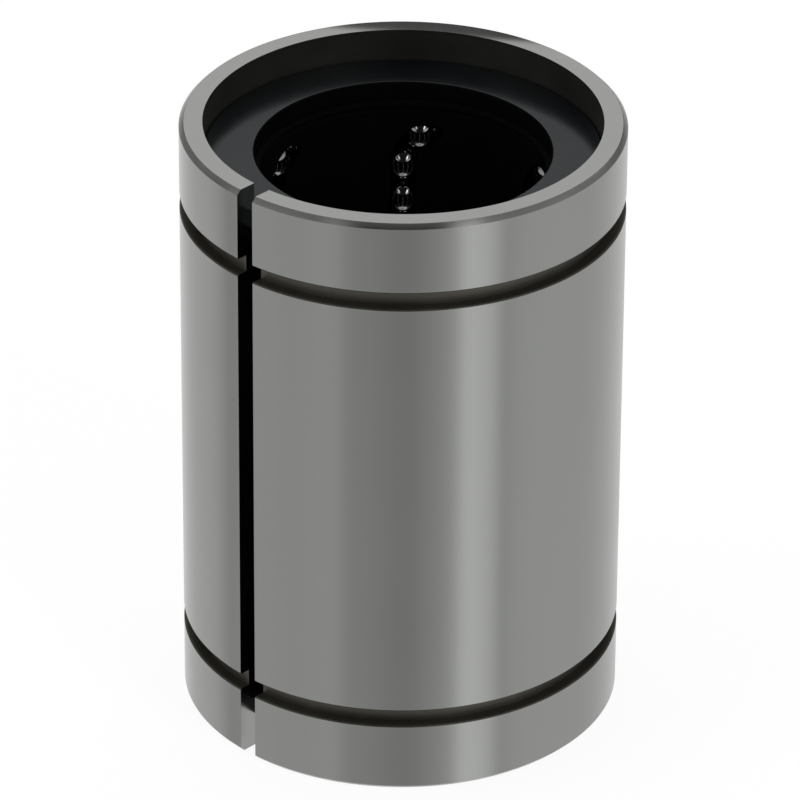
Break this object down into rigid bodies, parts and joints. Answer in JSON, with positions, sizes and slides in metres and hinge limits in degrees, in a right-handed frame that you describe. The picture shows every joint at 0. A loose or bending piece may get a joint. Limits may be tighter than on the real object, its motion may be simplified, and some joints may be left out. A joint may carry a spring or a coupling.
{
  "type": "linear ball bearing",
  "caption": "Cylindrical linear ball bearing with recirculating ball circuits, retaining-ring grooves and a lengthwise adjusting slit; runs along a round shaft.",
  "frame": {"origin": "on the shaft axis at the lower end face, which the bearing stands on", "axes": "+Z along the shaft axis; -Y is the front, with the adjusting slit 43.7 degrees from it towards -X"},
  "size_m": [0.047, 0.047, 0.068],
  "materials": {
    "sleeve_steel": "satin ground outside, dark heat-treated grooves and bores",
    "cage_resin": "moulded black resin",
    "end_ring": "smooth black resin",
    "wiper_rubber": "black nitrile rubber",
    "ball_steel": "polished bearing steel"
  },
  "bodies": {
    "bearing": {"outer_sleeve": "sleeve_steel", "ball_cage": "cage_resin", "upper_end_ring": "end_ring", "lower_end_ring": "end_ring", "upper_wiper": "wiper_rubber", "lower_wiper": "wiper_rubber"},
    "load_row_1": {"load_row_1": "ball_steel"},
    "return_row_1": {"return_row_1": "ball_steel"},
    "upper_turn_1": {"upper_turn_1": "ball_steel"},
    "lower_turn_1": {"lower_turn_1": "ball_steel"},
    "load_row_2": {"load_row_2": "ball_steel"},
    "return_row_2": {"return_row_2": "ball_steel"},
    "upper_turn_2": {"upper_turn_2": "ball_steel"},
    "lower_turn_2": {"lower_turn_2": "ball_steel"},
    "load_row_3": {"load_row_3": "ball_steel"},
    "return_row_3": {"return_row_3": "ball_steel"},
    "upper_turn_3": {"upper_turn_3": "ball_steel"},
    "lower_turn_3": {"lower_turn_3": "ball_steel"},
    "load_row_4": {"load_row_4": "ball_steel"},
    "return_row_4": {"return_row_4": "ball_steel"},
    "upper_turn_4": {"upper_turn_4": "ball_steel"},
    "lower_turn_4": {"lower_turn_4": "ball_steel"},
    "load_row_5": {"load_row_5": "ball_steel"},
    "return_row_5": {"return_row_5": "ball_steel"},
    "upper_turn_5": {"upper_turn_5": "ball_steel"},
    "lower_turn_5": {"lower_turn_5": "ball_steel"},
    "load_row_6": {"load_row_6": "ball_steel"},
    "return_row_6": {"return_row_6": "ball_steel"},
    "upper_turn_6": {"upper_turn_6": "ball_steel"},
    "lower_turn_6": {"lower_turn_6": "ball_steel"}
  },
  "joints": [
    {"name": "circuit_1_load", "type": "slide", "parent": "bearing", "child": "load_row_1", "axis": [0, 0, 1], "range_m": [-0.00385, 0.00025]},
    {"name": "circuit_1_return", "type": "slide", "parent": "bearing", "child": "return_row_1", "axis": [0, 0, -1], "range_m": [-0.00385, 0.00025]},
    {"name": "circuit_1_upper_turn", "type": "hinge", "parent": "bearing", "child": "upper_turn_1", "pos_m": [-0.0041, -0.01703, 0.0545], "axis": [0, -1, 0], "range_deg": [-56.35, 3.67]},
    {"name": "circuit_1_lower_turn", "type": "hinge", "parent": "bearing", "child": "lower_turn_1", "pos_m": [-0.0041, -0.01703, 0.0135], "axis": [0, -1, 0], "range_deg": [-56.35, 3.67]},
    {"name": "circuit_2_load", "type": "slide", "parent": "bearing", "child": "load_row_2", "axis": [0, 0, 1], "range_m": [-0.00385, 0.00025]},
    {"name": "circuit_2_return", "type": "slide", "parent": "bearing", "child": "return_row_2", "axis": [0, 0, -1], "range_m": [-0.00385, 0.00025]},
    {"name": "circuit_2_upper_turn", "type": "hinge", "parent": "bearing", "child": "upper_turn_2", "pos_m": [0.0127, -0.01207, 0.0545], "axis": [0.866, -0.5, 0], "range_deg": [-56.35, 3.67]},
    {"name": "circuit_2_lower_turn", "type": "hinge", "parent": "bearing", "child": "lower_turn_2", "pos_m": [0.0127, -0.01207, 0.0135], "axis": [0.866, -0.5, 0], "range_deg": [-56.35, 3.67]},
    {"name": "circuit_3_load", "type": "slide", "parent": "bearing", "child": "load_row_3", "axis": [0, 0, 1], "range_m": [-0.00385, 0.00025]},
    {"name": "circuit_3_return", "type": "slide", "parent": "bearing", "child": "return_row_3", "axis": [0, 0, -1], "range_m": [-0.00385, 0.00025]},
    {"name": "circuit_3_upper_turn", "type": "hinge", "parent": "bearing", "child": "upper_turn_3", "pos_m": [0.0168, 0.00497, 0.0545], "axis": [0.866, 0.5, 0], "range_deg": [-56.35, 3.67]},
    {"name": "circuit_3_lower_turn", "type": "hinge", "parent": "bearing", "child": "lower_turn_3", "pos_m": [0.0168, 0.00497, 0.0135], "axis": [0.866, 0.5, 0], "range_deg": [-56.35, 3.67]},
    {"name": "circuit_4_load", "type": "slide", "parent": "bearing", "child": "load_row_4", "axis": [0, 0, 1], "range_m": [-0.00385, 0.00025]},
    {"name": "circuit_4_return", "type": "slide", "parent": "bearing", "child": "return_row_4", "axis": [0, 0, -1], "range_m": [-0.00385, 0.00025]},
    {"name": "circuit_4_upper_turn", "type": "hinge", "parent": "bearing", "child": "upper_turn_4", "pos_m": [0.0041, 0.01703, 0.0545], "axis": [0, 1, 0], "range_deg": [-56.35, 3.67]},
    {"name": "circuit_4_lower_turn", "type": "hinge", "parent": "bearing", "child": "lower_turn_4", "pos_m": [0.0041, 0.01703, 0.0135], "axis": [0, 1, 0], "range_deg": [-56.35, 3.67]},
    {"name": "circuit_5_load", "type": "slide", "parent": "bearing", "child": "load_row_5", "axis": [0, 0, 1], "range_m": [-0.00385, 0.00025]},
    {"name": "circuit_5_return", "type": "slide", "parent": "bearing", "child": "return_row_5", "axis": [0, 0, -1], "range_m": [-0.00385, 0.00025]},
    {"name": "circuit_5_upper_turn", "type": "hinge", "parent": "bearing", "child": "upper_turn_5", "pos_m": [-0.0127, 0.01207, 0.0545], "axis": [-0.866, 0.5, 0], "range_deg": [-56.35, 3.67]},
    {"name": "circuit_5_lower_turn", "type": "hinge", "parent": "bearing", "child": "lower_turn_5", "pos_m": [-0.0127, 0.01207, 0.0135], "axis": [-0.866, 0.5, 0], "range_deg": [-56.35, 3.67]},
    {"name": "circuit_6_load", "type": "slide", "parent": "bearing", "child": "load_row_6", "axis": [0, 0, 1], "range_m": [-0.00385, 0.00025]},
    {"name": "circuit_6_return", "type": "slide", "parent": "bearing", "child": "return_row_6", "axis": [0, 0, -1], "range_m": [-0.00385, 0.00025]},
    {"name": "circuit_6_upper_turn", "type": "hinge", "parent": "bearing", "child": "upper_turn_6", "pos_m": [-0.0168, -0.00497, 0.0545], "axis": [-0.866, -0.5, 0], "range_deg": [-56.35, 3.67]},
    {"name": "circuit_6_lower_turn", "type": "hinge", "parent": "bearing", "child": "lower_turn_6", "pos_m": [-0.0168, -0.00497, 0.0135], "axis": [-0.866, -0.5, 0], "range_deg": [-56.35, 3.67]}
  ],
  "couplings": [
    {"joint": "circuit_1_return", "follows": "circuit_1_load", "ratio": 1},
    {"joint": "circuit_1_upper_turn", "follows": "circuit_1_load", "rad_per_m": 255.41},
    {"joint": "circuit_1_lower_turn", "follows": "circuit_1_load", "rad_per_m": 255.41},
    {"joint": "circuit_2_return", "follows": "circuit_2_load", "ratio": 1},
    {"joint": "circuit_2_upper_turn", "follows": "circuit_2_load", "rad_per_m": 255.41},
    {"joint": "circuit_2_lower_turn", "follows": "circuit_2_load", "rad_per_m": 255.41},
    {"joint": "circuit_3_return", "follows": "circuit_3_load", "ratio": 1},
    {"joint": "circuit_3_upper_turn", "follows": "circuit_3_load", "rad_per_m": 255.41},
    {"joint": "circuit_3_lower_turn", "follows": "circuit_3_load", "rad_per_m": 255.41},
    {"joint": "circuit_4_return", "follows": "circuit_4_load", "ratio": 1},
    {"joint": "circuit_4_upper_turn", "follows": "circuit_4_load", "rad_per_m": 255.41},
    {"joint": "circuit_4_lower_turn", "follows": "circuit_4_load", "rad_per_m": 255.41},
    {"joint": "circuit_5_return", "follows": "circuit_5_load", "ratio": 1},
    {"joint": "circuit_5_upper_turn", "follows": "circuit_5_load", "rad_per_m": 255.41},
    {"joint": "circuit_5_lower_turn", "follows": "circuit_5_load", "rad_per_m": 255.41},
    {"joint": "circuit_6_return", "follows": "circuit_6_load", "ratio": 1},
    {"joint": "circuit_6_upper_turn", "follows": "circuit_6_load", "rad_per_m": 255.41},
    {"joint": "circuit_6_lower_turn", "follows": "circuit_6_load", "rad_per_m": 255.41}
  ]
}
